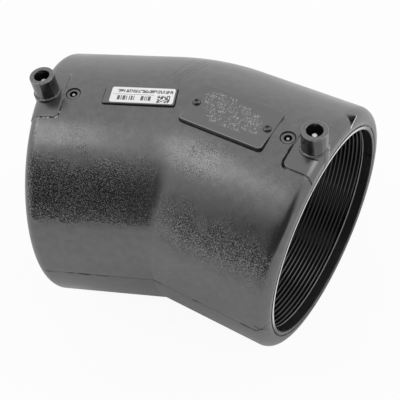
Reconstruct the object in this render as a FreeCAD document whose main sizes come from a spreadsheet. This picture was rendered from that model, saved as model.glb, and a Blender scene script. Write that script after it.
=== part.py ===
import FreeCAD, Part
import math
import os
import Sketcher

# Electrofusion elbow of 22.5 degrees for 180 mm pipe, in millimetres. X runs
# along the chord of the bend, the inside of the bend faces -Y and the terminals
# point up. The elbow lies on its two legs at Z 0, below the middle of its box.

DRIVING_SIZES = {
    # moulding: sockets, their wall, legs, bend and ends
    "bore_radius": 90.5,
    "socket_wall": 16.8,
    "bend_angle": 22.5,
    "leg_length": 124.2,
    "crotch_radius": 1.5,
    "end_rounding": 10.1,
    # depth of the sockets, their stops and their mouths
    "bore_depth": 88.0,
    "stop_height": 3.5,
    "mouth_chamfer": 1.0,
    # close-wound heating coil and the wire that crosses the bend
    "coil_start": 9.4,
    "coil_pitch": 3.68,
    "coil_turns": 12,
    "coil_clearance": 0.2,
    "coil_depth": 3.1,
    "coil_relief": 1.2,
    "bridge_radius": 0.8,
    # distance of terminals, indicators, label and plate from the top line,
    # towards the inside of the bend
    "row_offset": 3.3,
    # terminal pad and shroud
    "terminal_inset": 10.4,
    "pad_length": 24.6,
    "pad_width": 47.0,
    "pad_rise": 0.7,
    "pad_corner": 4.5,
    "pad_bite": 0.4,
    "shroud_radius": 9.95,
    "shroud_bore": 6.25,
    "shroud_height": 18.9,
    "shroud_depth": 16.0,
    "shroud_edge": 0.7,
    "collar_step": 0.35,
    "collar_height": 1.2,
    # contact pin and its foot in the wall
    "pin_radius": 2.35,
    "pin_recess": 5.4,
    "pin_chamfer": 0.6,
    "foot_radius": 1.9,
    # fusion indicator
    "indicator_inset": 32.1,
    "well_radius": 6.0,
    "well_depth": 1.0,
    "indicator_hole": 2.75,
    "indicator_depth": 7.2,
    "indicator_radius": 1.2,
    "indicator_recess": 0.5,
    # flat pad of the left leg, from its end and from the middle of the bend, and
    # its label
    "label_pad_inset": 58.5,
    "label_pad_gap": 7.2,
    "label_pad_width": 18.4,
    "label_pad_corner": 1.2,
    "label_pad_rise": 1.0,
    "label_outer_margin": 5.4,
    "label_inner_margin": 1.3,
    "label_width": 16.4,
    "label_corner": 1.8,
    "label_thickness": 0.2,
    # flat plate of the right leg with a stud near each end
    "plate_inset": 44.4,
    "plate_gap": 7.5,
    "plate_width": 40.0,
    "plate_corner": 3.2,
    "plate_rise": 1.0,
    "plate_root": 6.0,
    "stud_margin": 4.9,
    "stud_radius": 3.4,
    "stud_crown": 2.6,
    "stud_height": 1.8,
    "stud_socket": 1.5,
    "stud_socket_depth": 1.1,
    # three-cornered recess in the rounded end of the right leg
    "recess_turn": 25.5,
    "recess_inset": 8.2,
    "recess_length": 7.9,
    "recess_width": 12.4,
    "recess_peak_along": 4.9,
    "recess_peak_side": 7.1,
    "recess_heel": 2.3,
    "recess_depth": 7.0,
}

# Parts of the radius of the bend, whose arc takes up bend_tangent of each leg.
BEND_PARTS = ("bore_radius", "socket_wall", "crotch_radius")

doc = FreeCAD.newDocument("electrofusion_elbow")
sheet = doc.addObject("Spreadsheet::Sheet", "Sizes")
for row, (alias, value) in enumerate(DRIVING_SIZES.items(), start=1):
    sheet.set(f"A{row}", alias)
    sheet.set(f"B{row}", str(value))
    sheet.setAlias(f"B{row}", alias)
doc.recompute()


def size(name):
    """Value of one cell of the sheet, or of bend_tangent."""
    if name == "bend_tangent":
        radius = sum(size(part) for part in BEND_PARTS)
        return radius * math.tan(math.radians(size("bend_angle") / 2))
    return float(sheet.get(name))


def cell(name):
    """The same value as an expression on the sheet."""
    if name == "bend_tangent":
        return f"({BEND_RADIUS} * tan({HALF}))"
    return f"Sizes.{name}"


def number(words):
    """Value of a sum such as 'leg_length - 0.5*pad_width'."""
    total = 0.0
    sign = 1.0
    for word in words.split():
        if word in "+-":
            sign = 1.0 if word == "+" else -1.0
            continue
        product = sign
        for factor in word.split("*"):
            product *= float(factor) if factor[0].isdigit() else size(factor)
        total += product
    return total


def bound(words):
    """The same sum as an expression on the sheet."""
    terms = []
    for word in words.split():
        factors = [f if f[0].isdigit() or f in "+-" else cell(f) for f in word.split("*")]
        terms.append(" * ".join(factors))
    return " ".join(terms)


def vector(x, y, z):
    return f"create(<<vector>>; {x}; {y}; {z})"


def placement(point, axis, angle):
    return f"create(<<placement>>; {point}; create(<<rotation>>; {axis}; {angle}))"


# The axes of the legs meet at the height of the barrel's radius. The box in Y
# reaches from the rounded end's corner on the inside of the bend to the back of
# the bend.
OUTER = "bore_radius + socket_wall"
BARREL = f"({bound(OUTER)})"
HALF = "Sizes.bend_angle / 2"
BEND_RADIUS = "(" + " + ".join(f"Sizes.{part}" for part in BEND_PARTS) + ")"
BACK_Y = f"({BEND_RADIUS} * (1 - 1 / cos({HALF})) + {BARREL})"
FRONT_Y = f"((Sizes.leg_length - Sizes.end_rounding) * sin({HALF}) + {BARREL} * cos({HALF}))"
CENTRE = vector("0", f"({FRONT_Y} - {BACK_Y}) / 2", BARREL)
UP = vector("0", "0", "1")
ALONG = vector("1", "0", "0")
RIGHT_LEG = placement(CENTRE, UP, f"-{HALF}")


def on_leg(thing, along="0", inward="0", up="0", turn="0"):
    """Place a thing in the right leg's frame: along the leg from where the axes
    meet, turned about it, then towards the inside of the bend, and up."""
    station = placement(vector(bound(along), "0", "0"), ALONG, bound(turn))
    offset = placement(vector("0", f"-({bound(inward)})", bound(up)), ALONG, "0")
    thing.setExpression("Placement", f"{RIGHT_LEG} * {station} * {offset}")
    return thing


def solid(kind, label, **dimensions):
    """A Part primitive whose dimensions are bound to the sheet."""
    thing = doc.addObject(f"Part::{kind}", label)
    for name, words in dimensions.items():
        thing.setExpression(name, bound(words))
    return thing


def draw(sketch, outline):
    """Draw a closed outline of corners. An item with four words is the arc to the
    next corner, given by its centre, its radius and 'left' or 'right' turn."""
    corners = [item for item in outline if len(item) == 2]
    arcs = {}
    for item in outline:
        if len(item) == 2:
            last = item
        else:
            arcs[corners.index(last)] = item
    points = [FreeCAD.Vector(number(x), number(y), 0) for x, y in corners]
    starts = []
    ends = []
    for i, start in enumerate(points):
        end = points[(i + 1) % len(points)]
        if i in arcs:
            centre_x, centre_y, radius, turn = arcs[i]
            centre = FreeCAD.Vector(number(centre_x), number(centre_y), 0)
            first, second = (start, end) if turn == "left" else (end, start)
            angles = [math.atan2((p - centre).y, (p - centre).x) for p in (first, second)]
            circle = Part.Circle(centre, FreeCAD.Vector(0, 0, 1), number(radius))
            edge = sketch.addGeometry(Part.ArcOfCircle(circle, *angles))
            rule = Sketcher.Constraint("DistanceY", -1, 1, edge, 3, number(centre_y))
            constraint = sketch.addConstraint(rule)
            sketch.setExpression(f"Constraints[{constraint}]", bound(centre_y))
            starts.append((edge, 1 if turn == "left" else 2))
            ends.append((edge, 2 if turn == "left" else 1))
        else:
            edge = sketch.addGeometry(Part.LineSegment(start, end))
            starts.append((edge, 1))
            ends.append((edge, 2))
    for i, (x, y) in enumerate(corners):
        sketch.addConstraint(Sketcher.Constraint("Coincident", *ends[i - 1], *starts[i]))
        for axis, words in (("DistanceX", x), ("DistanceY", y)):
            rule = Sketcher.Constraint(axis, -1, 1, *starts[i], number(words))
            constraint = sketch.addConstraint(rule)
            sketch.setExpression(f"Constraints[{constraint}]", bound(words))
    return sketch


def turned(label, outline, upright=False):
    """Revolve an outline about the leg's axis, or an upright one about its own."""
    sketch = draw(doc.addObject("Sketcher::SketchObject", f"{label}_section"), outline)
    axis = FreeCAD.Vector(1, 0, 0)
    if upright:
        sketch.Placement = FreeCAD.Placement(FreeCAD.Vector(), FreeCAD.Rotation(axis, 90))
        axis = FreeCAD.Vector(0, 0, 1)
    thing = doc.addObject("Part::Revolution", label)
    thing.Source = sketch
    thing.Axis = axis
    thing.Angle = 360
    thing.Solid = True
    return thing


def plate(label, outline, height):
    """Raise an outline drawn on the leg's horizontal plane."""
    sketch = draw(doc.addObject("Sketcher::SketchObject", f"{label}_outline"), outline)
    thing = doc.addObject("Part::Extrusion", label)
    thing.Base = sketch
    thing.DirMode = "Custom"
    thing.Dir = FreeCAD.Vector(0, 0, 1)
    thing.Solid = True
    thing.setExpression("LengthFwd", bound(height))
    return thing


def rounded(length, width, corner):
    """Outline of a rounded rectangle from X 0 to length, centred in Y."""
    far = f"{length} - {corner}"
    side = f"0.5*{width}"
    inner = f"{side} - {corner}"
    return [
        (corner, f"0 - {side}"), (far, f"0 - {side}"),
        (far, f"0 - {side} + {corner}", corner, "left"),
        (length, f"0 - {side} + {corner}"), (length, inner),
        (far, inner, corner, "left"),
        (far, side), (corner, side),
        (corner, inner, corner, "left"),
        ("0", inner), ("0", f"0 - {side} + {corner}"),
        (corner, f"0 - {side} + {corner}", corner, "left"),
    ]


def joined(label, things):
    fuse = doc.addObject("Part::MultiFuse", label)
    fuse.Shapes = things
    fuse.Refine = True
    return fuse


def cut(label, base, tool):
    result = doc.addObject("Part::Cut", label)
    result.Base = base
    result.Tool = tool
    result.Refine = True
    return result


def mirrored(label, source):
    """The left leg's copy of a thing on the right leg."""
    copy = doc.addObject("Part::Mirroring", label)
    copy.Source = source
    copy.Normal = FreeCAD.Vector(1, 0, 0)
    return copy


END_FLATS = 3


def rounded_end(barrel):
    """The end's rounding, from its face to the barrel, in flats that stay within a
    thirtieth of its radius."""
    turns = [math.radians(90 * flat / END_FLATS) for flat in range(END_FLATS + 1)]
    return [(f"leg_length - {1 - math.cos(turn):.4f}*end_rounding",
             f"{barrel} - {1 - math.sin(turn):.4f}*end_rounding") for turn in turns]


# Barrel: the bend is turned in short straight lengths, whose mitres all pass
# through its centre, and each leg goes on from the last mitre to its rounded end.
# The seams of all of them lie along the back, a degree above its middle.
BEND_LENGTHS = 3
SEAM_RISE = "1"
STEP = f"(Sizes.bend_angle / {BEND_LENGTHS + 1})"
BEND_CENTRE = vector("0", f"({FRONT_Y} - {BACK_Y}) / 2 - {BEND_RADIUS} / cos({HALF})", "0")


def slice_of_bend(label, start, angle, bar):
    """What lies between two upright planes through the centre of the bend, from
    start, in degrees right of the middle, over angle."""
    sector = solid("Cylinder", f"{label}_sector", Height=f"{OUTER} + {OUTER}")
    sector.setExpression("Radius", f"{BEND_RADIUS} + {BARREL} + Sizes.leg_length")
    sector.setExpression("Angle", angle)
    sector.setExpression("Placement", placement(BEND_CENTRE, UP, f"90 - ({start}) - ({angle})"))
    piece = doc.addObject("Part::Common", label)
    piece.Base = sector
    piece.Tool = bar
    return piece


bend_lengths = []
for number_of_steps in range(-(BEND_LENGTHS // 2), BEND_LENGTHS // 2 + 1):
    label = f"bend_length_{number_of_steps + BEND_LENGTHS // 2 + 1}"
    turn = f"{number_of_steps} * {STEP}"
    bar = solid("Cylinder", f"{label}_bar", Radius=OUTER, Height=OUTER)
    middle = placement(BEND_CENTRE, UP, f"-({turn})")
    start = placement(vector(f"-({BARREL}) / 2", BEND_RADIUS, BARREL), vector("1", "1", "1"), "120")
    spin = placement(vector("0", "0", "0"), UP, SEAM_RISE)
    bar.setExpression("Placement", f"{middle} * {start} * {spin}")
    bend_lengths.append(slice_of_bend(label, f"({turn}) - {STEP} / 2", STEP, bar))

leg_bar = on_leg(turned("leg_bar", [
    ("0", "0"),
    ("leg_length", "0"),
    *rounded_end(OUTER),
    ("0", OUTER),
]), turn=SEAM_RISE)
leg = slice_of_bend("leg", f"{BEND_LENGTHS} * {STEP} / 2", "120", leg_bar)

# Core of one leg, drawn back along it when the moulding is opened: chamfered
# mouth, groove that the coil fills, socket, stop and waterway. The two waterways
# meet in the middle of the bend.
WATERWAY = "bore_radius - stop_height"
COIL_END = "leg_length - coil_start - coil_turns*coil_pitch"
GROOVE = "bore_radius + coil_clearance + coil_depth"
core = on_leg(turned("core", [
    ("0 - bend_tangent", "0"),
    ("leg_length", "0"),
    ("leg_length", "bore_radius + mouth_chamfer"),
    ("leg_length - mouth_chamfer", "bore_radius"),
    ("leg_length - coil_start", "bore_radius"),
    ("leg_length - coil_start", GROOVE),
    (COIL_END, GROOVE),
    (COIL_END, "bore_radius"),
    ("leg_length - bore_depth", "bore_radius"),
    ("leg_length - bore_depth", WATERWAY),
    ("0 - bend_tangent", WATERWAY),
]))
right_side = solid("Box", "right_side", Length=f"{OUTER} + leg_length",
                   Width=f"{OUTER} + {OUTER} + leg_length", Height=f"{OUTER} + {OUTER}")
right_side.setExpression("Placement.Base.y", f"-({BARREL} + Sizes.leg_length / 2)")
right_core = doc.addObject("Part::Common", "right_core")
right_core.Base = core
right_core.Tool = right_side

# Terminal pad: a raised patch that follows the barrel and its rounded end.
PAD_FOOT = f"{OUTER} - end_rounding - pad_bite"
pad_skin = on_leg(turned("pad_skin", [
    ("leg_length - pad_length - pad_corner", PAD_FOOT),
    ("leg_length", PAD_FOOT),
    *rounded_end(f"{OUTER} + pad_rise"),
    ("leg_length - pad_length - pad_corner", f"{OUTER} + pad_rise"),
]))
pad_outline = on_leg(
    plate("pad_outline", rounded("pad_length + pad_corner", "pad_width", "pad_corner"),
          f"{OUTER} + shroud_height"),
    along="leg_length - pad_length", inward="row_offset")
terminal_pad = doc.addObject("Part::Common", "terminal_pad")
terminal_pad.Base = pad_skin
terminal_pad.Tool = pad_outline

# Terminal shroud with its low collar, and the socket for the connector.
SHROUD_TOP = f"{OUTER} + shroud_height"
SHROUD_FLOOR = f"{SHROUD_TOP} - shroud_depth"
COLLAR_TOP = f"{OUTER} + pad_rise + collar_height"
TERMINAL = {"along": "leg_length - terminal_inset", "inward": "row_offset"}
shroud = on_leg(turned("shroud", [
    ("0", PAD_FOOT),
    ("shroud_radius + collar_step", PAD_FOOT),
    ("shroud_radius + collar_step", COLLAR_TOP),
    ("shroud_radius", COLLAR_TOP),
    ("shroud_radius", f"{SHROUD_TOP} - shroud_edge"),
    ("shroud_radius - shroud_edge", SHROUD_TOP),
    ("shroud_bore", SHROUD_TOP),
    ("shroud_bore", SHROUD_FLOOR),
    ("0", SHROUD_FLOOR),
], upright=True), **TERMINAL)

# Contact pin: its foot stands on the coil, in a passage through the wall.
PIN_TIP = f"{SHROUD_TOP} - pin_recess"
pin_right = on_leg(turned("terminal_pin_right", [
    ("0", GROOVE),
    ("foot_radius", GROOVE),
    ("foot_radius", SHROUD_FLOOR),
    ("pin_radius", SHROUD_FLOOR),
    ("pin_radius", f"{PIN_TIP} - pin_chamfer"),
    ("pin_radius - pin_chamfer", PIN_TIP),
    ("0", PIN_TIP),
], upright=True), **TERMINAL)
pin_left = mirrored("terminal_pin_left", pin_right)
foot_passage = on_leg(
    solid("Cylinder", "foot_passage", Radius="foot_radius",
          Height="socket_wall + shroud_height - shroud_depth"),
    along=TERMINAL["along"], inward=TERMINAL["inward"], up="bore_radius")

# Fusion indicator: a pin that stands in its hole, in a shallow well.
WELL_FLOOR = f"{OUTER} - well_depth"
HOLE_FLOOR = f"{WELL_FLOOR} - indicator_depth"
INDICATOR = {"along": "leg_length - indicator_inset", "inward": "row_offset"}
well = on_leg(
    solid("Cylinder", "well", Radius="well_radius", Height="well_depth + well_depth"),
    up=WELL_FLOOR, **INDICATOR)
indicator_hole = on_leg(
    solid("Cylinder", "indicator_hole", Radius="indicator_hole",
          Height="indicator_depth + well_depth"),
    up=HOLE_FLOOR, **INDICATOR)
indicator_right = on_leg(
    solid("Cylinder", "fusion_indicator_right", Radius="indicator_radius",
          Height="indicator_depth - indicator_recess"),
    up=HOLE_FLOOR, **INDICATOR)
indicator_left = mirrored("fusion_indicator_left", indicator_right)

# Flat label pad on the left leg, drawn on the right one and mirrored.
PLATE_FOOT = f"{OUTER} - plate_root"
label_pad = on_leg(
    plate("label_pad",
          rounded("leg_length - label_pad_inset - label_pad_gap", "label_pad_width", "label_pad_corner"),
          "plate_root + label_pad_rise"),
    along="label_pad_gap", inward="row_offset", up=PLATE_FOOT)
LABEL_END = "label_pad_gap + label_inner_margin"
LABEL_LENGTH = ("leg_length - label_pad_inset - label_pad_gap"
                " - label_outer_margin - label_inner_margin")
label_source = on_leg(
    plate("label_source", rounded(LABEL_LENGTH, "label_width", "label_corner"), "label_thickness"),
    along=LABEL_END, inward="row_offset", up=f"{OUTER} + label_pad_rise")
barcode_label = mirrored("barcode_label", label_source)

# Raised flat plate on the right leg, with a socketed stud near each end.
PLATE_TOP = f"{OUTER} + plate_rise"
raised_plate = on_leg(
    plate("raised_plate",
          rounded("leg_length - plate_inset - plate_gap", "plate_width", "plate_corner"),
          "plate_root + plate_rise"),
    along="plate_gap", inward="row_offset", up=PLATE_FOOT)
studs = []
stud_sockets = []
for end, along in (
    ("outer", "leg_length - plate_inset - stud_margin"),
    ("inner", "plate_gap + stud_margin"),
):
    studs.append(on_leg(
        solid("Cone", f"{end}_stud", Radius1="stud_radius", Radius2="stud_crown", Height="stud_height"),
        along=along, inward="row_offset", up=PLATE_TOP))
    stud_sockets.append(on_leg(
        solid("Prism", f"{end}_stud_socket", Circumradius="stud_socket", Height="stud_height"),
        along=along, inward="row_offset", up=f"{PLATE_TOP} + stud_height - stud_socket_depth"))

# Three-cornered recess in the rounded end of the right leg.
rim_recess = on_leg(
    plate("rim_recess", [
        ("0", "0 - recess_heel"),
        ("recess_length", "recess_peak_side - recess_width"),
        ("recess_peak_along", "recess_peak_side"),
    ], "recess_depth + recess_depth"),
    along="leg_length - recess_inset", up=f"{OUTER} - recess_depth",
    turn="0 - recess_turn")

# Heating coil: the coated wire is wound so close that its turns melt into one
# sleeve, which fills its groove and stands a clearance back from the bore. Its wavy
# inside has a few flat-sided waves in place of all the turns.
COIL_WAVES = 4
COIL_SIDES = 48
coil_rings = []
for ring in range(2 * COIL_WAVES + 1):
    polygon = doc.addObject("Part::RegularPolygon", f"coil_ring_{ring + 1}")
    polygon.Polygon = COIL_SIDES
    trough = "" if ring % 2 else " + Sizes.coil_relief"
    polygon.setExpression(
        "Circumradius",
        f"(Sizes.bore_radius + Sizes.coil_clearance{trough}) / cos(180 / {COIL_SIDES})")
    along = f"{bound(COIL_END)} + {ring} / {2 * COIL_WAVES} * Sizes.coil_turns * Sizes.coil_pitch"
    facing = placement(vector(along, "0", "0"), vector("0", "1", "0"), "90")
    polygon.setExpression("Placement", f"{RIGHT_LEG} * {facing}")
    coil_rings.append(polygon)
coil_inside = doc.addObject("Part::Loft", "coil_inside")
coil_inside.Sections = coil_rings
coil_inside.Solid = True
coil_inside.Ruled = True
coil_outside = solid("Cylinder", "coil_outside", Radius=GROOVE, Height="coil_turns*coil_pitch")
facing = placement(vector(bound(COIL_END), "0", "0"), vector("0", "1", "0"), "90")
coil_outside.setExpression("Placement", f"{RIGHT_LEG} * {facing}")
coil_right = cut("heating_coil_right", coil_outside, coil_inside)
coil_left = mirrored("heating_coil_left", coil_right)

# Wire that crosses the bend in the wall, straight from one coil's end face to the
# other's.
BRIDGE_REACH = f"(({bound(COIL_END)}) * cos({HALF}) + Sizes.bridge_radius)"
BRIDGE_Y = f"({FRONT_Y} - {BACK_Y}) / 2 - ({bound(COIL_END)}) * sin({HALF})"
BRIDGE_Z = f"{BARREL} + {bound(GROOVE)} - Sizes.bridge_radius - Sizes.coil_clearance"
straight_wire = solid("Cylinder", "straight_wire", Radius="bridge_radius")
straight_wire.setExpression("Height", f"2 * {BRIDGE_REACH}")
straight_wire.setExpression(
    "Placement",
    placement(vector(f"-{BRIDGE_REACH}", BRIDGE_Y, BRIDGE_Z), vector("0", "1", "0"), "90"))
bridge_wire = cut("bridge_wire", straight_wire, joined("both_coils", [coil_right, coil_left]))

# The moulding: what both legs share is made on the right and mirrored.
leg_solid = joined("leg_solid", [leg, terminal_pad, shroud])
leg_cuts = joined("leg_cuts", [right_core, foot_passage, well, indicator_hole])
moulding = joined("moulding", [
    leg_solid, mirrored("leg_solid_left", leg_solid),
    *bend_lengths, mirrored("label_pad_left", label_pad), raised_plate, *studs,
])
moulding_cuts = joined("moulding_cuts", [
    leg_cuts, mirrored("leg_cuts_left", leg_cuts), bridge_wire, rim_recess, *stud_sockets,
])
elbow_body = cut("elbow_body", moulding, moulding_cuts)

doc.recompute()
failed = [thing.Label for thing in doc.Objects if {"Invalid", "Error"} & set(thing.State)]
if failed:
    raise RuntimeError(f"not computed: {failed}")

os.makedirs("parts", exist_ok=True)
for piece in (
    elbow_body,
    coil_left, coil_right, bridge_wire,
    pin_left, pin_right,
    indicator_left, indicator_right,
    barcode_label,
):
    if piece.Shape.isNull() or not piece.Shape.isValid():
        raise RuntimeError(f"bad shape: {piece.Label}")
    piece.Shape.exportStep(f"parts/{piece.Label}.step")
    print(f"{piece.Label}: {len(piece.Shape.Solids)} solid, {piece.Shape.Volume:.1f} mm3")
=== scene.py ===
# Electrofusion elbow of 22.5 degrees in black polyethylene, lying on its two legs with
# its terminals up. Metres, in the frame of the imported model.
import math
from types import SimpleNamespace

import bmesh
import bpy
import numpy as np
from mathutils import Matrix, Vector


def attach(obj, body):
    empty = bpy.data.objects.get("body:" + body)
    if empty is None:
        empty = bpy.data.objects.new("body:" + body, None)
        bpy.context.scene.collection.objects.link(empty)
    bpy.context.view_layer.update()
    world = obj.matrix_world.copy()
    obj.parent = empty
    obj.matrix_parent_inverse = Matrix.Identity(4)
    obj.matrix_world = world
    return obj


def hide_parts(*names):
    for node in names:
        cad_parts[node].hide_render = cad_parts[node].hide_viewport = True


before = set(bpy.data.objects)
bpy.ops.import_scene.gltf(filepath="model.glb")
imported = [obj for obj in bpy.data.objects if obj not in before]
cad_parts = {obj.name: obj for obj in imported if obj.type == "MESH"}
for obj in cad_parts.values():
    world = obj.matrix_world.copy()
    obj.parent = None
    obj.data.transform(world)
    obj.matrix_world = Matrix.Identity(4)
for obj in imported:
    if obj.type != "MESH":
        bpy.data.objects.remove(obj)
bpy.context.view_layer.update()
MM = 0.001

# Camera: it looks down on the inside of the bend, turned a little to the right, and
# it leans, so that the bore of the right leg shows. The axes of the two legs meet at
# FRAME_Y and AXIS_HEIGHT, in mm.
FRAME_Y, AXIS_HEIGHT = 11.165, 107.3
AIM = Vector((7.75, FRAME_Y - 21.95, AXIS_HEIGHT)) * MM
CAMERA_DISTANCE = 0.67617
SENSOR, FOCAL_PIXELS, PICTURE_PIXELS = 36.0, 769.06, 400
azimuth, elevation, lean = (math.radians(v) for v in (28.89, 52.84, -10.35))
back = Vector((math.sin(azimuth) * math.cos(elevation),
               -math.cos(azimuth) * math.cos(elevation), math.sin(elevation)))
level = (-back).cross(Vector((0, 0, 1))).normalized()
upright = level.cross(-back)
right = level * math.cos(lean) + upright * math.sin(lean)
up = upright * math.cos(lean) - level * math.sin(lean)
lens = bpy.data.cameras.new("studio_camera")
lens.sensor_width = SENSOR
lens.lens = SENSOR * FOCAL_PIXELS / PICTURE_PIXELS
lens.clip_start = 0.05
camera = bpy.data.objects.new("studio_camera", lens)
camera.matrix_world = (Matrix.Translation(AIM + back * CAMERA_DISTANCE)
                       @ Matrix((right, up, back)).transposed().to_4x4())
bpy.context.scene.collection.objects.link(camera)
bpy.context.scene.camera = camera
bpy.context.scene.view_settings.view_transform = "Standard"


# Studio: a white table and white walls all round, apart from the dark end of the room
# behind the camera, which the glossy plastic mirrors above the table's edge. Two
# softboxes light the part.
def node_tree(owner):
    """Empty the owner's nodes and give back (add, link). add makes a node, sets its
    sockets by name or number, and links those whose value is another socket."""
    owner.use_nodes = True
    tree = owner.node_tree
    tree.nodes.clear()

    def add(kind, settings=(), **inputs):
        node = tree.nodes.new(kind)
        for name, value in dict(settings).items():
            setattr(node, name, value)
        for name, value in inputs.items():
            key = int(name[1:]) if name[0] == "i" and name[1:].isdigit() else name.replace("_", " ")
            if isinstance(value, bpy.types.NodeSocket):
                tree.links.new(value, node.inputs[key])
            else:
                node.inputs[key].default_value = value
        return node

    return add, tree.links.new


def sum_of(add, operation, a, b=0.5, c=0.5):
    """One Math node: operation on a, b and c, which are sockets or numbers."""
    return add("ShaderNodeMath", {"operation": operation}, i0=a, i1=b, i2=c).outputs[0]


def product(add, *factors):
    """All the factors multiplied."""
    total = factors[0]
    for factor in factors[1:]:
        total = sum_of(add, "MULTIPLY", total, factor)
    return total


def ramp(add, value, low, high, start=0.0, end=1.0):
    """Smooth step of value, from start at low to end at high."""
    return add("ShaderNodeMapRange", {"interpolation_type": "SMOOTHSTEP"},
               Value=value, From_Min=low, From_Max=high, To_Min=start, To_Max=end).outputs[0]


# How bright the room is where a mirrored ray meets its white and its dark walls, and
# how bright it is to the rays that fill the shade.
WALL_GLOW, DARK_GLOW, FILL_GLOW = 1.08, 0.05, 0.8
world = bpy.data.worlds.new("studio")
bpy.context.scene.world = world
add, link = node_tree(world)
way = add("ShaderNodeSeparateXYZ", Vector=add("ShaderNodeTexCoord").outputs["Generated"])
# Bearing from -Y and height over the level, in radians. The dark end covers a range of
# both, and its foot lies higher towards the left.
bearing = sum_of(add, "ARCTAN2", way.outputs["X"], sum_of(add, "MULTIPLY", way.outputs["Y"], -1.0))
height = sum_of(add, "ARCSINE", way.outputs["Z"])
leftward = sum_of(add, "MAXIMUM", sum_of(add, "SUBTRACT", -0.3, bearing), 0.0)
foot = ramp(add, height, sum_of(add, "MULTIPLY_ADD", leftward, 0.5, 0.04),
            sum_of(add, "MULTIPLY_ADD", leftward, 1.1, 0.14))
dark_end = product(add, ramp(add, bearing, -0.88, -0.50), ramp(add, bearing, 1.1, 1.5, 1, 0),
                   foot, ramp(add, height, 0.72, 1.22, 1, 0))
mirrored = sum_of(add, "MULTIPLY_ADD", dark_end, DARK_GLOW - WALL_GLOW, WALL_GLOW)
rays = add("ShaderNodeLightPath")
seen = FILL_GLOW
for ray, strength in (("Is Glossy Ray", mirrored), ("Is Transmission Ray", 1.0), ("Is Camera Ray", 1.0)):
    seen = add("ShaderNodeMix", {"data_type": "FLOAT"},
               i0=rays.outputs[ray], i2=seen, i3=strength).outputs[0]
sky = add("ShaderNodeBackground", Color=(1, 1, 1, 1), Strength=seen)
link(sky.outputs[0], add("ShaderNodeOutputWorld").inputs["Surface"])

TABLE = 3.0
table = bpy.data.meshes.new("table")
table.from_pydata([(-TABLE, -TABLE, 0), (TABLE, -TABLE, 0), (TABLE, TABLE, 0), (-TABLE, TABLE, 0)],
                  [], [(0, 1, 2, 3)])
table_top = bpy.data.objects.new("table", table)
bpy.context.scene.collection.objects.link(table_top)
white = bpy.data.materials.new("white_table")
add, link = node_tree(white)
paper = add("ShaderNodeBsdfDiffuse", Color=(0.9, 0.9, 0.9, 1))
glow = add("ShaderNodeEmission", Color=(1, 1, 1, 1), Strength=1.0)
# The camera sees nearly only the table's glow. A mirrored ray sees a painted glow
# of the table too, the more of it the further from the part it lands, so that it fades
# near the part as a painted shadow.
rays = add("ShaderNodeLightPath")
spot = add("ShaderNodeTexCoord").outputs["Object"]
away = add("ShaderNodeVectorMath", {"operation": "LENGTH"}, i0=spot).outputs["Value"]
to_camera = product(add, rays.outputs["Is Camera Ray"], 0.93)
painted_mirror_glow = product(add, rays.outputs["Is Glossy Ray"], ramp(add, away, 0.12, 0.40, 0.0, 0.75))
share = sum_of(add, "MAXIMUM", to_camera, painted_mirror_glow)
both = add("ShaderNodeMixShader", i0=share, i1=paper.outputs[0], i2=glow.outputs[0])
link(both.outputs[0], add("ShaderNodeOutputMaterial").inputs["Surface"])
table.materials.append(white)

# Each softbox: bearing and height in degrees, seen from the middle of the part, then
# its distance, width and power.
PART_MIDDLE = Vector((0, 0, 0.15))
for name, toward, distance, width, power in (
    ("overhead_softbox", (-72, 60), 1.5, 0.5, 1.1),
    ("side_softbox", (110, 40), 2.0, 0.9, 4.0),
):
    lamp = bpy.data.lights.new(name, "AREA")
    lamp.shape = "SQUARE"
    lamp.size = width
    lamp.energy = power
    turn, rise = (math.radians(v) for v in toward)
    aim = Vector((math.sin(turn) * math.cos(rise), -math.cos(turn) * math.cos(rise), math.sin(rise)))
    holder = bpy.data.objects.new(name, lamp)
    holder.matrix_world = (Matrix.Translation(PART_MIDDLE + aim * distance)
                           @ aim.to_track_quat("Z", "Y").to_matrix().to_4x4())
    bpy.context.scene.collection.objects.link(holder)

# Barrel: the main moulding, both sockets and the bend in one, injected in black
# polyethylene in a mould that parts along its sides. Its ends are rounded over.
BORE, BARREL, WATERWAY, GROOVE, ROUNDING, LIP = 90.5, 107.3, 87.0, 93.8, 10.1, 0.55
# A leg is LEG long in mm, from the bend's middle to its mouth. The stop and the coil's
# two ends are measured from the mouth.
LEG = 124.2
SOCKET_DEPTH, COIL_START, COIL_END = 88.0, 9.4, 53.56
HALF_BEND = math.radians(11.25)
ACROSS, ALONG = math.cos(HALF_BEND), math.sin(HALF_BEND)
BEND = BARREL + 1.5
BARREL_CREASE = 40
# How far inward of the top line the terminals and all that lines up with them lie.
ROW = 3.3


def on_leg(side, u, inward, rise):
    """Point of a leg, in metres: u along its axis from where the two axes meet, then
    inward towards the inside of the bend and rise upwards. side is 1 or -1."""
    return np.stack(np.broadcast_arrays(
        side * (u * ACROSS - inward * ALONG),
        FRAME_Y - u * ALONG - inward * ACROSS,
        AXIS_HEIGHT + rise), -1) * MM


def grid_faces(points, wrap_rows=False, wrap_columns=False):
    """Four-cornered faces between neighbours of a grid of points, rows by columns.
    Either way may close on itself."""
    rows, columns = points.shape[:2]
    index = np.arange(rows * columns).reshape(rows, columns)
    if wrap_rows:
        index = np.vstack([index, index[:1]])
    if wrap_columns:
        index = np.hstack([index, index[:, :1]])
    corners = index[:-1, :-1], index[1:, :-1], index[1:, 1:], index[:-1, 1:]
    return np.stack(corners, -1).reshape(-1, 4).tolist()


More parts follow.
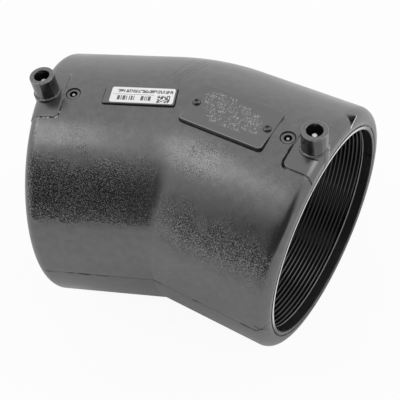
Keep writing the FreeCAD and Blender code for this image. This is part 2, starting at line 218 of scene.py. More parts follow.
def moulded(name, points, faces, crease):
    """Piece from points and faces: what meets is merged, faces turn outwards, and
    corners sharper than crease, in degrees, stay sharp."""
    mesh = bpy.data.meshes.new(name)
    mesh.from_pydata(points.reshape(-1, 3).tolist(), [], faces)
    work = bmesh.new()
    work.from_mesh(mesh)
    bmesh.ops.remove_doubles(work, verts=work.verts, dist=2e-7)
    bmesh.ops.recalc_face_normals(work, faces=work.faces)
    work.to_mesh(mesh)
    work.free()
    mesh.shade_smooth()
    mesh.set_sharp_from_angle(angle=math.radians(crease))
    piece = bpy.data.objects.new(name, mesh)
    bpy.context.scene.collection.objects.link(piece)
    return piece


def grid_piece(name, points, wrap_rows=False, wrap_columns=False, crease=35):
    """Piece whose skin is a grid of points. Rows that shrink to one point are poles."""
    return moulded(name, points, grid_faces(points, wrap_rows, wrap_columns), crease)


def lathe(name, side, u, inward, profile, steps=64, crease=35):
    """Profile of (radius, rise) turned about an upright line at u, inward on a leg."""
    radius, rise = np.array(profile, float).T[:, :, None]
    turn = np.linspace(0, 2 * math.pi, steps, endpoint=False)
    return grid_piece(name, on_leg(side, u + radius * np.cos(turn), inward + radius * np.sin(turn), rise),
                      wrap_columns=True, crease=crease)


def arc(x, y, radius, start, end, count):
    """Points of an arc about x, y: radius times the cosine and the sine of its angles,
    which run evenly from start to end, in degrees."""
    turn = np.radians(np.linspace(start, end, count))
    return np.stack([x + radius * np.cos(turn), y + radius * np.sin(turn)], -1)


# Profile of a leg, as (distance from the mouth, radius): it runs from the waterway over
# the stop, the coil's groove, the lip, the fine groove in the rim and the rounded end.
mouth = np.vstack([
    [(SOCKET_DEPTH, WATERWAY), (SOCKET_DEPTH, BORE), (COIL_END, BORE), (COIL_END, GROOVE),
     (COIL_START, GROOVE), (COIL_START, BORE), (5.0, BORE), (1.2, BORE)],
    arc(LIP, BORE + LIP, LIP, 270, 180, 5),
    [(0.0, 93.0), (0.12, 93.5), (0.5, 93.7), (0.5, 94.3), (0.12, 94.5), (0.0, 95.0)],
    arc(ROUNDING, BARREL - ROUNDING, ROUNDING, 180, 90, 15),
    [(s, BARREL) for s in (14, 20, 26, 32, 38, 44, 51, 58, 65, 72, 79, 86, 93, 98)]])
inset, radius = mouth.T[:, :, None]
ring = np.radians(np.arange(0, 360, 1.5))
skins = [on_leg(side, LEG - inset, radius * np.sin(ring), radius * np.cos(ring)) for side in (1, -1)]
# The bend turns about an upright line BEND from the middle of the barrel.
bend_turn = np.linspace(HALF_BEND, -HALF_BEND, 25)[:, None]
reach = BEND - BARREL * np.sin(ring)
bend_y = FRAME_Y - BEND / ACROSS
bend_skin = np.stack(np.broadcast_arrays(
    reach * np.sin(bend_turn), bend_y + reach * np.cos(bend_turn),
    AXIS_HEIGHT + BARREL * np.cos(ring)), -1) * MM
waterway_side, waterway_rise = WATERWAY * np.sin(ring)[None, :], WATERWAY * np.cos(ring)[None, :]
mitre = on_leg(1, math.tan(HALF_BEND) * waterway_side, waterway_side, waterway_rise)
barrel = grid_piece("elbow_barrel", np.concatenate([mitre, skins[0], bend_skin, skins[1][::-1]]),
                    wrap_rows=True, wrap_columns=True, crease=BARREL_CREASE)

# Cut into it: the well and the hole of each fusion indicator, and a three-cornered
# recess in the rounded end of the right leg.
INDICATOR, HOLE = 32.1, 2.75
RECESS, RECESS_TILT, RECESS_REACH = 8.2, math.radians(-25.5), 7.0
cutters = []
for side in (1, -1):
    cutters.append(lathe("well_cutter", side, LEG - INDICATOR, ROW, [
        (0, BARREL - 8.2), (HOLE, BARREL - 8.2), (HOLE, BARREL - 1.15), (3.0, BARREL - 0.95),
        (5.5, BARREL - 0.95), (6.0, BARREL - 0.5), (6.15, BARREL + 1.0), (0, BARREL + 1.0)]))
# The recess is a prism whose rows are a point, its corners twice, and a point again.
along = np.array([(3.0, 3.0, 3.0), (0.0, 7.9, 5.6), (0.0, 7.9, 5.6), (3.0, 3.0, 3.0)])
across = np.array([(0.0, 0.0, 0.0), (2.3, 5.6, -9.6), (2.3, 5.6, -9.6), (0.0, 0.0, 0.0)])
depth = BARREL + RECESS_REACH * np.array([(-1,), (-1,), (1,), (1,)])
cutters.append(grid_piece("recess_cutter", on_leg(
    1, LEG - RECESS + along, across * math.cos(RECESS_TILT) + depth * math.sin(RECESS_TILT),
    depth * math.cos(RECESS_TILT) - across * math.sin(RECESS_TILT)), wrap_columns=True))
for cutter in cutters:
    hollow = barrel.modifiers.new("hollow", "BOOLEAN")
    hollow.operation, hollow.solver, hollow.object = "DIFFERENCE", "EXACT", cutter
carved = bpy.data.meshes.new_from_object(barrel.evaluated_get(bpy.context.evaluated_depsgraph_get()))
barrel.modifiers.clear()
barrel.data = carved
carved.set_sharp_from_angle(angle=math.radians(BARREL_CREASE))
for cutter in cutters:
    bpy.data.objects.remove(cutter)

# Raised patches on the barrel, as (start, end, middle, width, corner): start and end
# are distances from the mouth, and middle is inward of the top line.
PAD_LENGTH, PAD_WIDTH, PAD_RISE, PAD_CORNER = 24.6, 47.0, 0.7, 4.5
PAD_BOX = (-40.0, PAD_LENGTH, ROW, PAD_WIDTH, PAD_CORNER)
PLATE_BOX = (44.4, LEG - 7.5, ROW, 40.0, 3.2)
LABEL_PAD_BOX = (58.5, LEG - 7.2, ROW, 18.4, 1.2)
# Cells a metre of the coarse grain on the mould's upper half.
COARSE_GRAIN = 1300.0


def length_of(add, a, b):
    """Root of the sum of the squares of a and b."""
    return sum_of(add, "SQRT", sum_of(add, "MULTIPLY_ADD", a, a, sum_of(add, "MULTIPLY", b, b)))


def leg_lines(add):
    """Sockets that say where a point lies on its leg, in mm: distance from the mouth,
    radius from the axis, distance inward of it and rise above it. angle is measured
    from the top, in degrees, positive towards the inside of the bend, and side is X."""
    place = add("ShaderNodeSeparateXYZ", Vector=add("ShaderNodeTexCoord").outputs["Object"])
    x = sum_of(add, "MULTIPLY", sum_of(add, "ABSOLUTE", place.outputs["X"]), 1000.0)
    y = sum_of(add, "MULTIPLY_ADD", place.outputs["Y"], 1000.0, -FRAME_Y)
    rise = sum_of(add, "MULTIPLY_ADD", place.outputs["Z"], 1000.0, -AXIS_HEIGHT)
    from_mouth = sum_of(add, "MULTIPLY_ADD", y, ALONG, sum_of(add, "MULTIPLY_ADD", x, -ACROSS, LEG))
    inward = sum_of(add, "MULTIPLY_ADD", y, -ACROSS, sum_of(add, "MULTIPLY", x, -ALONG))
    angle = sum_of(add, "MULTIPLY", sum_of(add, "ARCTAN2", inward, rise), 180 / math.pi)
    return SimpleNamespace(side=place.outputs["X"], mouth=from_mouth, inward=inward, rise=rise,
                           radius=length_of(add, inward, rise), angle=angle)


def band(add, value, middle, half, soft):
    """1 where value is within half of middle, fading to 0 over soft."""
    away = sum_of(add, "ABSOLUTE", sum_of(add, "SUBTRACT", value, middle))
    return ramp(add, away, half, half + soft, 1, 0)


def most(add, *values):
    """The largest of the values."""
    total = values[0]
    for value in values[1:]:
        total = sum_of(add, "MAXIMUM", total, value)
    return total


def speckle(add, scale, detail=2.0, rough=0.5):
    """Noise from 0 to 1 with about scale cells a metre."""
    return add("ShaderNodeTexNoise", Vector=add("ShaderNodeTexCoord").outputs["Object"],
               Scale=scale, Detail=detail, Roughness=rough).outputs["Fac"]


def rounded_box(add, at, start, end, middle, width, corner):
    """Distance in mm outside a rounded rectangle on a leg, which runs from start to end,
    from the mouth, and is centred on middle. Negative inside it."""
    far = []
    for value, centre, half in ((at.mouth, (start + end) / 2, (end - start) / 2),
                                (at.inward, middle, width / 2)):
        away = sum_of(add, "ABSOLUTE", sum_of(add, "SUBTRACT", value, centre))
        far.append(sum_of(add, "SUBTRACT", away, half - corner))
    reach = length_of(add, *(sum_of(add, "MAXIMUM", side, 0.0) for side in far))
    inside = sum_of(add, "MINIMUM", sum_of(add, "MAXIMUM", far[0], far[1]), 0.0)
    return sum_of(add, "SUBTRACT", sum_of(add, "ADD", reach, inside), corner)


def circle(add, at, middle, radius):
    """Distance in mm outside a circle on the terminals' row, middle from the mouth."""
    return rounded_box(add, at, middle - radius, middle + radius, ROW, 2 * radius, radius)


def grey(level, blue=1.0):
    """Colour of a grey whose blue is that many times as strong."""
    return (level, level, level * blue, 1)


def blend(add, share, first, second):
    """Colour from first, where share is 0, to second, where it is 1."""
    return add("ShaderNodeMix", {"data_type": "RGBA"}, Factor=share, A=first, B=second).outputs["Result"]


def black_polyethylene(name, marks=None, relief=None, rough=(0.20, 0.28), tone=(0.013, 0.019), grain=0.03,
                       mirror=1.0):
    """Glossy black plastic. Nearly all that shows is what it mirrors, so its grain, in
    mm, and a roughness that drifts over the range rough give it its look. Its grey
    drifts over the range tone, and mirror is how strongly it mirrors. marks(add) gives
    back four masks: black dirt and painted shade, pale scuffs and painted highlights,
    coarse grain, whose paler grains are painted glints, and dull places. relief(add)
    gives back heights in mm."""
    stuff = bpy.data.materials.new(name)
    add, link = node_tree(stuff)
    drift = speckle(add, 24.0, 3.0, 0.55)
    height = sum_of(add, "MULTIPLY", speckle(add, 520.0, 1.0, 0.5), grain)
    colour = blend(add, ramp(add, drift, 0.35, 0.65), grey(tone[0], 1.02), grey(tone[1], 1.02))
    shine = ramp(add, drift, 0.3, 0.7, *rough)
    if marks:
        dirt_and_shade, scuffs_and_highlights, coarse, dull = marks(add)
        # The pale mask also holds painted highlights, and the black mask painted shade, which dulls the
        # mirror too.
        for mask, level in ((scuffs_and_highlights, 0.85), (dirt_and_shade, 0.002)):
            colour = blend(add, mask, colour, grey(level))
        mirror = sum_of(add, "MULTIPLY_ADD", sum_of(add, "MULTIPLY_ADD", dirt_and_shade, 0.92, dull), -mirror, mirror)
        if coarse:
            grains = speckle(add, COARSE_GRAIN, 1.0, 0.6)
            height = sum_of(add, "MULTIPLY_ADD", product(add, coarse, grains), 0.2, height)
            # The paler grains are painted glints.
            colour = blend(add, product(add, coarse, ramp(add, grains, 0.54, 0.66)), colour, grey(0.14))
            dark_grains = product(add, coarse, ramp(add, grains, 0.43, 0.56, 0.95, 0))
            mirror = product(add, mirror, sum_of(add, "SUBTRACT", 1.0, dark_grains))
    if relief:
        height = sum_of(add, "ADD", height, relief(add))
    bump = add("ShaderNodeBump", Height=height, Strength=1.0, Distance=MM)
    plastic = add("ShaderNodeBsdfPrincipled", Base_Color=colour, IOR=1.68, Roughness=shine,
                  Specular_IOR_Level=mirror, Normal=bump.outputs[0])
    link(plastic.outputs[0], add("ShaderNodeOutputMaterial").inputs["Surface"])
    return stuff


def barrel_marks(add):
    """Where the moulding is dirty, painted with shade, rubbed pale, painted with highlights
    and sheen, coarse and dull. Each mark is a band about a line or an outline on the
    leg, in mm or degrees, times the stretch where it shows and a noise that breaks it
    up."""
    at = leg_lines(add)
    on_left = ramp(add, at.side, -0.002, 0.002, 1, 0)
    on_right = sum_of(add, "SUBTRACT", 1.0, on_left)
    on_top = ramp(add, at.rise, 15.0, 25.0)
    breaks = speckle(add, 90.0, 3.0, 0.6)
    fine = speckle(add, 260.0, 2.0, 0.6)

    # Painted shade in the rim's groove, dirt along the parting line, and dark marks in a
    # small fork where that line meets the right mouth.
    rim_groove_shade = product(add, band(add, at.radius, 94.0, 0.6, 0.4), ramp(add, at.mouth, 1.4, 2.4, 1, 0),
                     ramp(add, breaks, 0.34, 0.44))
    dashes = ramp(add, speckle(add, 55.0, 2.0, 0.6), 0.46, 0.56)
    parting = product(add, ramp(add, at.mouth, 4.0, 9.0), most(
        add, product(add, band(add, at.rise, 0.0, 0.35, 0.5), 0.4),
        product(add, band(add, at.rise, -0.2, 0.7, 0.4), dashes)))
    tines = most(add, band(add, sum_of(add, "MULTIPLY_ADD", at.mouth, 0.75, at.rise), 4.5, 0.25, 0.5),
                 band(add, sum_of(add, "MULTIPLY_ADD", at.mouth, -1.1, at.rise), -2.5, 0.25, 0.5))
    fork = product(add, on_right, ramp(add, at.mouth, 0.3, 0.8), ramp(add, at.mouth, 8.0, 9.5, 1, 0), tines)

    # Painted shade round the foot of the raised patches, in the wells and in the holes.
    # Along the right pad's inner edge the painted shade is ragged, and along the left pad's
    # edge it alternates with dashes of painted highlight.
    pad = rounded_box(add, at, *PAD_BOX)
    ragged = sum_of(add, "MULTIPLY_ADD", fine, 2.6, -1.3)
    inner_edge = product(add, ramp(add, at.mouth, 20.0, 23.0), ramp(add, at.inward, 4.0, 10.0))
    pad_right = product(add, on_right, most(
        add, product(add, band(add, sum_of(add, "ADD", pad, ragged), 0.9, 0.9, 0.5), inner_edge),
        product(add, band(add, pad, 0.4, 0.25, 0.35), ramp(add, fine, 0.38, 0.46), 0.8)))
    left_edge = product(add, on_left, on_top, band(add, pad, 0.45, 0.3, 0.3))
    lower_end = ramp(add, at.inward, 12.0, 20.0)
    pad_left = product(add, left_edge, ramp(add, fine, 0.46, 0.54), lower_end)
    pale_lower = product(add, lower_end, ramp(add, fine, 0.40, 0.46, 1, 0), 0.35)
    pale_upper = product(add, ramp(add, at.inward, 12.0, 20.0, 0.16, 0), ramp(add, fine, 0.35, 0.6))
    pad_edge_highlight = product(add, left_edge, most(add, pale_lower, pale_upper))
    plate = product(add, on_right, band(add, rounded_box(add, at, *PLATE_BOX), 0.35, 0.3, 0.3),
                    ramp(add, at.inward, 5.0, 14.0))
    label = product(add, on_left, band(add, rounded_box(add, at, *LABEL_PAD_BOX), 0.3, 0.25, 0.4))
    well = product(add, band(add, circle(add, at, INDICATOR, 6.05), -0.35, 0.4, 0.25), 0.9)
    hole = ramp(add, circle(add, at, INDICATOR, HOLE), 0.45, 0.75, 1, 0)
    patch_shade = product(add, on_top, most(add, pad_right, pad_left, plate, label, well, hole))
    dirt_and_shade = most(add, rim_groove_shade, parting, fork, patch_shade)

    # Painted highlights on the lip and the rim on the near side, on the edge of the coil's
    # groove and on one wall of the recess; and a spot on the left rim rubbed pale.
    near_side = product(add, ramp(add, at.angle, -60.0, -25.0), ramp(add, at.angle, 88.0, 106.0, 1, 0))
    lip_highlight = product(add, band(add, at.radius, 91.5, 1.2, 0.4), ramp(add, at.mouth, 1.3, 2.0, 1, 0),
                  ramp(add, breaks, 0.28, 0.42, 0.75, 1.0), near_side)
    outer_lip_highlight = product(add, band(add, at.radius, 96.2, 0.5, 0.6), near_side,
                        ramp(add, fine, 0.3, 0.7), 0.22)
    coil_edge_highlight = product(add, band(add, at.mouth, 9.0, 0.3, 0.25),
                        ramp(add, at.radius, 91.0, 92.0, 1, 0), 0.5)
    across = sum_of(add, "MULTIPLY_ADD", at.inward, math.cos(RECESS_TILT),
                    sum_of(add, "MULTIPLY", at.rise, -math.sin(RECESS_TILT)))
    wall = sum_of(add, "MULTIPLY_ADD", at.mouth, 0.989, sum_of(add, "MULTIPLY_ADD", across, 0.150, -1.137))
    recess_wall_highlight = product(add, on_right, on_top, band(add, wall, 0.0, 0.2, 0.2),
                          band(add, across, -2.0, 7.4, 0.4))
    rub = product(add, on_left, band(add, at.mouth, 8.0, 0.8, 1.0), band(add, at.angle, 19.0, 4.0, 4.0),
                  ramp(add, fine, 0.30, 0.55), 0.2)

    # Coarse grain of the mould's upper half, which ends raggedly above the parting line
    # and lower on the left leg than on the right.
    drift = speckle(add, 45.0, 2.0, 0.6)
    wander = sum_of(add, "MULTIPLY_ADD", breaks, 8.0, at.angle)
    left_zone = product(add, on_left, ramp(add, wander, 62.0, 64.0, 1, 0.06))
    right_zone = product(add, on_right, ramp(add, wander, 56.0, 74.0, 1, 0.06))
    edge = sum_of(add, "MULTIPLY_ADD", drift, 26.0, at.angle)
    start = most(add, ramp(add, edge, 52.0, 64.0, 0.1, 1.0),
                 product(add, on_left, ramp(add, edge, 38.0, 51.0, 0.1, 1.0)))
    zone = product(add, sum_of(add, "ADD", left_zone, right_zone),
                   ramp(add, at.mouth, 72.0, 108.0, 1, 0.5), start)

    # Patches of it with a painted sheen, its grains paler, each on a leg: a band from the
    # mouth, a band of angles, and a strength.
    patches = most(add, *(
        product(add, leg, band(add, at.mouth, *from_mouth), band(add, at.angle, *angles), strength)
        for leg, from_mouth, angles, strength in (
            (on_left, (34.0, 6.0, 22.0), (22.0, 1.0, 8.0), 0.5),
            (on_right, (86.0, 6.0, 30.0), (24.0, 2.0, 11.0), 1.0),
            (on_right, (22.0, 10.0, 14.0), (-46.0, 2.0, 12.0), 0.6),
            (on_left, (60.0, 40.0, 20.0), (-50.0, 2.0, 12.0), 0.4))))
    grains = ramp(add, speckle(add, COARSE_GRAIN, 1.0, 0.6), 0.48, 0.64)
    off_rim = ramp(add, at.radius, 99.0, 104.0)
    painted_sheen = product(add, patches, ramp(add, drift, 0.30, 0.55), grains, off_rim, 0.2)
    zone = product(add, most(add, zone, product(add, patches, ramp(add, drift, 0.30, 0.60), 0.4)),
                   ramp(add, at.mouth, 3.0, 6.0), off_rim)

    # Dull: the bore, and faint clouds all over.
    clouds = ramp(add, speckle(add, 150.0, 3.0, 0.65), 0.3, 0.7, 0.08, -0.08)
    dull = sum_of(add, "ADD", ramp(add, at.radius, 91.3, 92.2, 0.72, 0), clouds)
    return dirt_and_shade, most(add, lip_highlight, outer_lip_highlight, coil_edge_highlight, recess_wall_highlight, rub, painted_sheen, pad_edge_highlight), zone, dull


def barrel_relief(add):
    """Flash of the parting line, a low band at the axes' height, and the creases that
    the mould's joint left across the left leg: bands about a slanting line that bows."""
    at = leg_lines(add)
    on_left = ramp(add, at.side, -0.002, 0.002, 1, 0)
    heights = product(add, band(add, at.rise, 0.0, 0.35, 0.5), 0.22)
    around = sum_of(add, "MULTIPLY", at.angle, math.radians(BARREL))
    bowed = sum_of(add, "ADD", around, 32.0)
    slant = sum_of(add, "MULTIPLY_ADD", at.mouth, 0.925, sum_of(add, "MULTIPLY_ADD", around, 0.379, -100.0))
    across = sum_of(add, "MULTIPLY_ADD", product(add, bowed, bowed), 0.004, slant)
    stretch = product(add, on_left, ramp(add, around, -68.0, -55.0), ramp(add, around, -16.0, -8.0, 1, 0))
    for place, half, tall in ((0.0, 0.25, 0.7), (-3.4, 0.2, 0.35), (-9.7, 0.25, 0.55), (4.1, 0.2, 0.35)):
        crease = product(add, band(add, across, place, half, 0.5), stretch, tall)
        heights = sum_of(add, "ADD", heights, crease)
    return heights


barrel_black = black_polyethylene("barrel_black", marks=barrel_marks, relief=barrel_relief)
barrel.data.materials.clear()
barrel.data.materials.append(barrel_black)
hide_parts("elbow_body")
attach(barrel, "root")

# Terminal pads: a low patch of the same moulding under each terminal, which follows
# the barrel and rolls over its rounded end, left by a loose piece of the mould.
PAD_ROOT = 1.6
detail_black = black_polyethylene("detail_black")
# Its path over the barrel, as (distance from the mouth, radius), from its inner edge.
path = np.vstack([
    [(s, BARREL + PAD_RISE) for s in (PAD_LENGTH, 24.55, 24.3, 23.4, 22.0, 20.8, 20.1, 17.5, 14.0)],
    arc(ROUNDING, BARREL - ROUNDING, ROUNDING + PAD_RISE, 90, 176, 14)])
from_mouth, radius = np.maximum(path[:, :1], 0.02), path[:, 1:]
from_edge = PAD_LENGTH - from_mouth
corner_width = np.sqrt(np.clip(PAD_CORNER ** 2 - (PAD_CORNER - from_edge) ** 2, 0, None))
half = np.where(from_edge < PAD_CORNER, PAD_WIDTH / 2 - PAD_CORNER + corner_width, PAD_WIDTH / 2)
# Across it, its long edges drop to its root, and so does its inner edge along it.
spread = np.concatenate([[-1, -1, -0.995, -0.985], np.linspace(-0.96, 0.96, 33), [0.985, 0.995, 1, 1]])
drop = np.concatenate([[-PAD_ROOT, -0.35, -0.06, 0], np.zeros(33), [0, -0.06, -0.35, -PAD_ROOT]])
lift = radius + np.minimum(drop, np.interp(from_edge, [0, 0.05, 0.3, 1.2], [-0.35, -0.15, -0.03, 0]))
lateral = ROW + half * spread
rise = np.sqrt(np.clip(lift ** 2 - lateral ** 2, 0, None))
foot_rise = np.sqrt((lift[:1] - PAD_ROOT) ** 2 - lateral[:1] ** 2)
for side, name in ((-1, "terminal_pad_left"), (1, "terminal_pad_right")):
    skin = on_leg(side, LEG - from_mouth, lateral, rise)
    foot = on_leg(side, LEG - from_mouth[:1], lateral[:1], foot_rise)
    pad = grid_piece(name, np.concatenate([foot, skin]), crease=60)
    pad.data.materials.append(detail_black)
    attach(pad, "root")

# Terminal shrouds: an upright tube of the moulding round each contact pin, with a
# low collar at its foot, so that the welding lead plugs in and touches nothing else.
SHROUD, SHROUD_BORE, SHROUD_TOP, SHROUD_FLOOR = 9.95, 6.25, BARREL + 18.9, BARREL + 2.9
TERMINAL = LEG - 10.4
HIGHLIGHT_BEARING = math.radians(9.0)


def shroud_marks(add):
    """Upright streaks on the side, where the mould wiped the plastic, with a painted
    highlight as a pale line down the right shroud at a bearing of 9 degrees, and a
    painted highlight as a pale edge round the top. The streaks are a noise that is
    stretched twentyfold upwards."""
    spot = add("ShaderNodeTexCoord").outputs["Object"]
    stretched = add("ShaderNodeVectorMath", {"operation": "MULTIPLY"}, i0=spot, i1=(1.0, 1.0, 0.05))
    streaks = add("ShaderNodeTexNoise", Vector=stretched.outputs[0], Scale=650.0, Detail=2.0).outputs["Fac"]
    rise = leg_lines(add).rise
    side = ramp(add, rise, SHROUD_TOP - 1.6, SHROUD_TOP - 0.9, 1, 0)
    # A painted highlight round the top edge.
    edge = product(add, band(add, rise, SHROUD_TOP - 0.4, 0.2, 0.3), ramp(add, streaks, 0.3, 0.6), 0.16)
    middle = on_leg(1, TERMINAL, ROW, 0.0)
    place = add("ShaderNodeSeparateXYZ", Vector=spot)
    x = sum_of(add, "MULTIPLY_ADD", place.outputs["X"], 1000.0, -1000.0 * middle[0])
    y = sum_of(add, "MULTIPLY_ADD", place.outputs["Y"], 1000.0, -1000.0 * middle[1])
    out = sum_of(add, "MULTIPLY_ADD", x, math.cos(HIGHLIGHT_BEARING), sum_of(add, "MULTIPLY", y, math.sin(HIGHLIGHT_BEARING)))
    along = sum_of(add, "MULTIPLY_ADD", y, math.cos(HIGHLIGHT_BEARING), sum_of(add, "MULTIPLY", x, -math.sin(HIGHLIGHT_BEARING)))
    side_highlight = product(add, ramp(add, out, SHROUD - 1.0, SHROUD - 0.6), band(add, along, 0.0, 1.4, 1.2), side,
                   ramp(add, streaks, 0.3, 0.5), 0.3)
    return 0.0, most(add, edge, side_highlight), None, product(add, ramp(add, streaks, 0.38, 0.58, 0.4, -0.1), side)


shroud_black = black_polyethylene("shroud_black", marks=shroud_marks, rough=(0.16, 0.22),
                                  tone=(0.010, 0.014))
outline = np.vstack([
    [(0, BARREL - 12), (SHROUD + 1.3, BARREL - 12), (SHROUD + 1.3, BARREL + 0.7)],
    arc(SHROUD + 0.9, BARREL + 1.3, 0.4, 0, 90, 5),
    [(SHROUD + 0.45, BARREL + 1.75), (SHROUD + 0.1, BARREL + 2.0), (SHROUD, BARREL + 2.5),
     (SHROUD, BARREL + 8), (SHROUD, SHROUD_TOP - 1.2)],
    arc(SHROUD - 0.75, SHROUD_TOP - 0.75, 0.75, 0, 90, 6),
    arc(SHROUD_BORE + 0.4, SHROUD_TOP - 0.4, 0.4, 90, 180, 5),
    [(SHROUD_BORE, SHROUD_TOP - 3), (SHROUD_BORE, SHROUD_FLOOR), (0, SHROUD_FLOOR)]])
for side, name in ((-1, "terminal_shroud_left"), (1, "terminal_shroud_right")):
    shroud = lathe(name, side, TERMINAL, ROW, outline, steps=96)
    shroud.data.materials.append(shroud_black)
    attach(shroud, "root")

# Label pad: a flat strip of the moulding on the left leg, cut as a pocket into the
# mould, so that the sticker has a level place to lie.
PLATE_TOP, PLATE_ROOT = BARREL + 1.0, BARREL - 5


def edged_plate(name, side, box, edge):
    """Flat plate on a leg: the outline of a rounded rectangle is carried from its root
    up the side and over a round of radius edge at its top. Outwards of the outline,
    each point moves along its normal. A face closes the top and the root."""
    start, end, middle, width, corner = box
    quarter = np.radians(np.linspace(0, 90, 9))
    turn = quarter[None, :] + np.radians([0, 90, 180, 270])[:, None]
    near, far = LEG - start - corner, LEG - end + corner
    u = (np.array([near, far, far, near])[:, None] + corner * np.cos(turn)).ravel()
    v = (np.array([1, 1, -1, -1])[:, None] * (width / 2 - corner) + corner * np.sin(turn)).ravel()
    section = np.vstack([[(0, PLATE_ROOT)], arc(-edge, PLATE_TOP - edge, edge, 0, 90, 5),
                         [(-edge - 0.4, PLATE_TOP)]])
    out, rise = section[:, :1], section[:, 1:]
    points = on_leg(side, u + out * np.cos(turn).ravel(), middle + v + out * np.sin(turn).ravel(), rise)
    rows, columns = points.shape[:2]
    root, top = range(columns), range((rows - 1) * columns, rows * columns)
    return moulded(name, points, grid_faces(points, wrap_columns=True) + [list(top), list(root)[::-1]], 50)


label_pad = edged_plate("label_pad", -1, LABEL_PAD_BOX, 0.35)
label_pad.data.materials.append(detail_black)
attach(label_pad, "root")

# Text plate: the flat raised plate on the right leg, moulded with it by an insert of
# the mould, with a socketed stud near each end and rows of small strokes between them.

# Each row: how far inward it lies of the plate's middle, and where it starts and ends,
# from the mouth.
STROKE_ROWS = ((-14.6, 84, 108), (-10.9, 70, 112), (-7.2, 58, 108), (-3.5, 54, 110), (0.2, 54, 80),
               (0.4, 86, 106), (3.9, 56, 104), (7.6, 54, 98), (11.3, 60, 94))
text_plate = edged_plate("text_plate", 1, PLATE_BOX, 0.45)


def plate_strokes(add):
    """1 on the rows of small raised strokes: a fine noise inside each row, with gaps
    where a cell of the row is left blank."""
    at = leg_lines(add)
    grains = speckle(add, 1250.0, 0.0)
    cell = sum_of(add, "FLOOR", sum_of(add, "MULTIPLY", at.mouth, 0.75))
    strokes = []
    for row, (lateral, first, last) in enumerate(STROKE_ROWS):
        inside = product(add, band(add, at.inward, ROW + lateral, 1.45, 0.3),
                         band(add, at.mouth, (first + last) / 2, (last - first) / 2, 0.2))
        place = add("ShaderNodeCombineXYZ", X=cell, Y=float(row)).outputs[0]
        there = add("ShaderNodeTexWhiteNoise", {"noise_dimensions": "2D"}, Vector=place).outputs["Value"]
        strokes.append(product(add, inside, ramp(add, there, 0.22, 0.27), ramp(add, grains, 0.48, 0.58)))
    return most(add, *strokes)


def plate_marks(add):
    """The strokes, and the plate's top edge on the inside of the bend, get a painted highlight."""
    strokes = plate_strokes(add)
    at = leg_lines(add)
    edge_highlight = product(add, band(add, rounded_box(add, at, *PLATE_BOX), -0.5, 0.15, 0.3),
                          ramp(add, at.inward, 12.0, 20.0), 0.14)
    return 0.0, most(add, product(add, strokes, 0.24), edge_highlight), None, product(add, strokes, -0.2)


def plate_relief(add):
    """The strokes stand a little above the plate."""
    return sum_of(add, "MULTIPLY", plate_strokes(add), 0.3)


plate_black = black_polyethylene("plate_black", marks=plate_marks, relief=plate_relief)
text_plate.data.materials.append(plate_black)
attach(text_plate, "root")
stud_black = black_polyethylene("stud_black", rough=(0.04, 0.08), tone=(0.002, 0.004), mirror=0.8)
stud_profile = [
    (0, PLATE_TOP - 1), (3.45, PLATE_TOP - 1), (3.4, PLATE_TOP + 0.5), (3.15, PLATE_TOP + 1.2),
    (2.6, PLATE_TOP + 1.7), (1.75, PLATE_TOP + 1.8), (1.5, PLATE_TOP + 1.65), (1.4, PLATE_TOP + 0.7),
    (0, PLATE_TOP + 0.7)]
for name, u in (("plate_stud_outer", LEG - 49.3), ("plate_stud_inner", 12.4)):
    stud = lathe(name, 1, u, ROW, stud_profile, steps=36, crease=60)
    stud.data.materials.append(stud_black)
    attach(stud, "root")

# Heating coils: coated resistance wire wound close on the core of the mould, so that
# its turns show as beads on the wall of each socket. A sleeve closes the gaps between
# the turns and the bottom of their groove.
PITCH, TURNS, BEAD, WIRE_CLEARANCE = 3.68, 11, 1.84, 0.2
BED_INSIDE, BED_OUTSIDE, BED_CLEARANCE = 92.3, 93.75, 0.02
wire_black = black_polyethylene("coil_black", rough=(0.04, 0.07), tone=(0.0015, 0.0025), grain=0.005,
                                mirror=0.42)
# The wire is a circle of radius BEAD carried along a helix, and it tapers to a point at
# each end.
turn = np.linspace(0, 2 * math.pi * TURNS, 120 * TURNS + 1)[:, None]
bead = np.radians(np.arange(0, 360, 36))
bead_radius = BEAD * np.clip(np.minimum(turn, turn[::-1]) / 0.05, 0.0, 1.0)
wire_inset = COIL_START + PITCH * (0.5 + turn / (2 * math.pi)) + bead_radius * np.cos(bead)
wire_reach = BORE + WIRE_CLEARANCE + BEAD + bead_radius * np.sin(bead)
angle = math.radians(2) - turn
bed_start, bed_end = COIL_START + BED_CLEARANCE, COIL_END - BED_CLEARANCE
bed_inset, bed_radius = np.array([(bed_start, BED_INSIDE), (bed_start, BED_OUTSIDE),
                                  (bed_end, BED_OUTSIDE), (bed_end, BED_INSIDE)]).T[:, :, None]
for side, name, node in ((-1, "coil_turns_left", "heating_coil_left"),
                         (1, "coil_turns_right", "heating_coil_right")):
    coil = grid_piece(name, on_leg(
        side, LEG - wire_inset, wire_reach * np.sin(angle), wire_reach * np.cos(angle)),
        wrap_columns=True, crease=80)
    coil.data.materials.append(wire_black)
    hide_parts(node)
    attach(coil, "root")
    sleeve = grid_piece(name.replace("turns", "bed"), on_leg(
        side, LEG - bed_inset, bed_radius * np.sin(ring), bed_radius * np.cos(ring)),
        wrap_rows=True, wrap_columns=True)
    sleeve.data.materials.append(wire_black)
    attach(sleeve, "root")

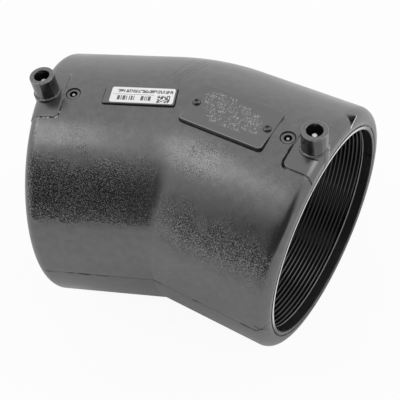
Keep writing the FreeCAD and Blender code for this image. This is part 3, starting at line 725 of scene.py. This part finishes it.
# Contact pins: tin-plated brass, pressed on to the ends of the wire, each standing
# below the top of its shroud.
tin = bpy.data.materials.new("tinned_pin")
add, link = node_tree(tin)
marks = speckle(add, 900.0, 3.0)
pin_metal = add("ShaderNodeBsdfPrincipled", Base_Color=(0.66, 0.65, 0.63, 1), Metallic=1.0,
                Roughness=ramp(add, marks, 0.3, 0.7, 0.22, 0.4),
                Normal=add("ShaderNodeBump", Height=marks, Strength=0.2, Distance=0.0001).outputs[0])
link(pin_metal.outputs[0], add("ShaderNodeOutputMaterial").inputs["Surface"])
for node in ("terminal_pin_left", "terminal_pin_right"):
    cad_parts[node].data.materials.clear()
    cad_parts[node].data.materials.append(tin)

# Bridge wire: bare resistance wire of a copper alloy, moulded into the wall, which
# crosses the bend from coil to coil.
bare = bpy.data.materials.new("bare_wire")
add, link = node_tree(bare)
copper = add("ShaderNodeBsdfPrincipled", Base_Color=(0.62, 0.42, 0.24, 1), Metallic=1.0,
             Roughness=ramp(add, speckle(add, 1500.0), 0.3, 0.7, 0.25, 0.4))
link(copper.outputs[0], add("ShaderNodeOutputMaterial").inputs["Surface"])
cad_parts["bridge_wire"].data.materials.clear()
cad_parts["bridge_wire"].data.materials.append(bare)

# Fusion indicators: loose pins of polyethylene in their holes, which the melt pushes
# up when the joint has been welded.
for node in ("fusion_indicator_left", "fusion_indicator_right"):
    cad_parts[node].data.materials.clear()
    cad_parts[node].data.materials.append(black_polyethylene(node + "_grey", tone=(0.25, 0.35)))

# Label: a white plastic sticker, pressed on to its pad, with a generic print: a line of
# specks, a rule, a row of bars and a block of squares, which stand for no real code.
LABEL_START, LABEL_LENGTH, LABEL_WIDTH = 63.9, 51.8, 16.4
sticker = bpy.data.materials.new("sticker")
add, link = node_tree(sticker)
at = leg_lines(add)
along = sum_of(add, "DIVIDE", sum_of(add, "SUBTRACT", at.mouth, LABEL_START), LABEL_LENGTH)
down = sum_of(add, "DIVIDE", sum_of(add, "SUBTRACT", at.inward, ROW - LABEL_WIDTH / 2), LABEL_WIDTH)


def within(start, end, top, bottom):
    """1 inside a box on the label, in shares of its length and width."""
    return product(add, band(add, along, (start + end) / 2, (end - start) / 2, 0.002),
                   band(add, down, (top + bottom) / 2, (bottom - top) / 2, 0.01))


def cells(columns, rows, share, seed):
    """1 in a share of the cells of a grid of columns and rows over the label, where a
    noise that is even over each cell lies below that share."""
    place = add("ShaderNodeCombineXYZ", X=sum_of(add, "FLOOR", sum_of(add, "MULTIPLY", along, columns)),
                Y=sum_of(add, "FLOOR", sum_of(add, "MULTIPLY", down, rows)), Z=seed).outputs[0]
    value = add("ShaderNodeTexWhiteNoise", {"noise_dimensions": "3D"}, Vector=place).outputs["Value"]
    return sum_of(add, "LESS_THAN", value, share)


specks = product(add, within(0.10, 0.97, 0.15, 0.34), cells(80, 14, 0.68, 1.5), 0.85)
rule = product(add, within(0.04, 0.68, 0.455, 0.485), 0.5)
bars = product(add, within(0.05, 0.65, 0.56, 0.84), cells(70, 1, 0.62, 2.5), cells(13, 1, 0.9, 7.5), 0.9)
code = product(add, within(0.745, 0.94, 0.48, 0.95), cells(54, 17, 0.58, 3.5), 0.95)
ink = blend(add, most(add, specks, rule, bars, code), grey(0.90), grey(0.03))
paper = add("ShaderNodeBsdfPrincipled", Base_Color=ink, Roughness=0.45)
link(paper.outputs[0], add("ShaderNodeOutputMaterial").inputs["Surface"])
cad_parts["barcode_label"].data.materials.clear()
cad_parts["barcode_label"].data.materials.append(sticker)
